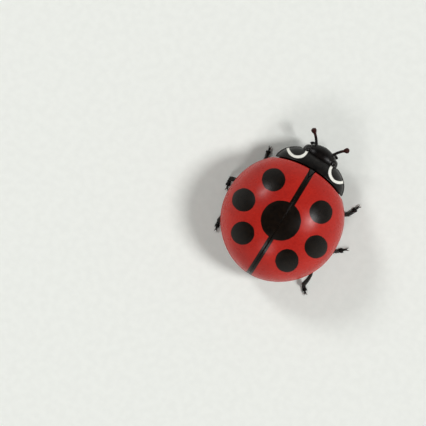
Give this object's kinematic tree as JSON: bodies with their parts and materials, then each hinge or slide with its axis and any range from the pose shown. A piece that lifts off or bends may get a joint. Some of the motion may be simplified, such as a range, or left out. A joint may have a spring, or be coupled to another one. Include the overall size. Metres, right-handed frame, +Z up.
{
  "type": "ladybird",
  "caption": "Ladybird beetle standing on its feet: glossy red domed wing cases with black spots and a black centre stripe, black head, pronotum, feelers and legs.",
  "frame": {"origin": "under the middle of the animal's overall box, on the floor it stands on", "axes": "+Z up, head towards -Y, the animal's left side towards +X; the plane x = 0 parts the wing cases"},
  "size_m": [0.0079, 0.0086, 0.0042],
  "materials": {
    "red_shell": "gloss",
    "black_shell": "gloss",
    "black_leg": "satin",
    "black_belly": "satin",
    "brown_feeler": "satin",
    "dark_eye": "gloss"
  },
  "bodies": {
    "root": {"elytron_left": "red_shell", "elytron_right": "red_shell", "scutellum": "black_shell", "pronotum": "black_shell", "prothorax": "black_belly", "thorax": "black_belly", "abdomen": "black_belly", "head": "black_shell", "labrum": "black_shell", "eye_left": "dark_eye", "eye_right": "dark_eye", "antenna_left": "brown_feeler", "antenna_right": "brown_feeler", "palp_left": "black_shell", "palp_right": "black_shell", "leg_front_left_coxa": "black_leg", "leg_front_left_femur": "black_leg", "leg_front_left_tibia": "black_leg", "leg_front_left_tarsus": "black_leg", "leg_front_right_coxa": "black_leg", "leg_front_right_femur": "black_leg", "leg_front_right_tibia": "black_leg", "leg_front_right_tarsus": "black_leg", "leg_middle_left_coxa": "black_leg", "leg_middle_left_femur": "black_leg", "leg_middle_left_tibia": "black_leg", "leg_middle_left_tarsus": "black_leg", "leg_middle_right_coxa": "black_leg", "leg_middle_right_femur": "black_leg", "leg_middle_right_tibia": "black_leg", "leg_middle_right_tarsus": "black_leg", "leg_hind_left_coxa": "black_leg", "leg_hind_left_femur": "black_leg", "leg_hind_left_tibia": "black_leg", "leg_hind_left_tarsus": "black_leg", "leg_hind_right_coxa": "black_leg", "leg_hind_right_femur": "black_leg", "leg_hind_right_tibia": "black_leg", "leg_hind_right_tarsus": "black_leg"}
  },
  "joints": []
}
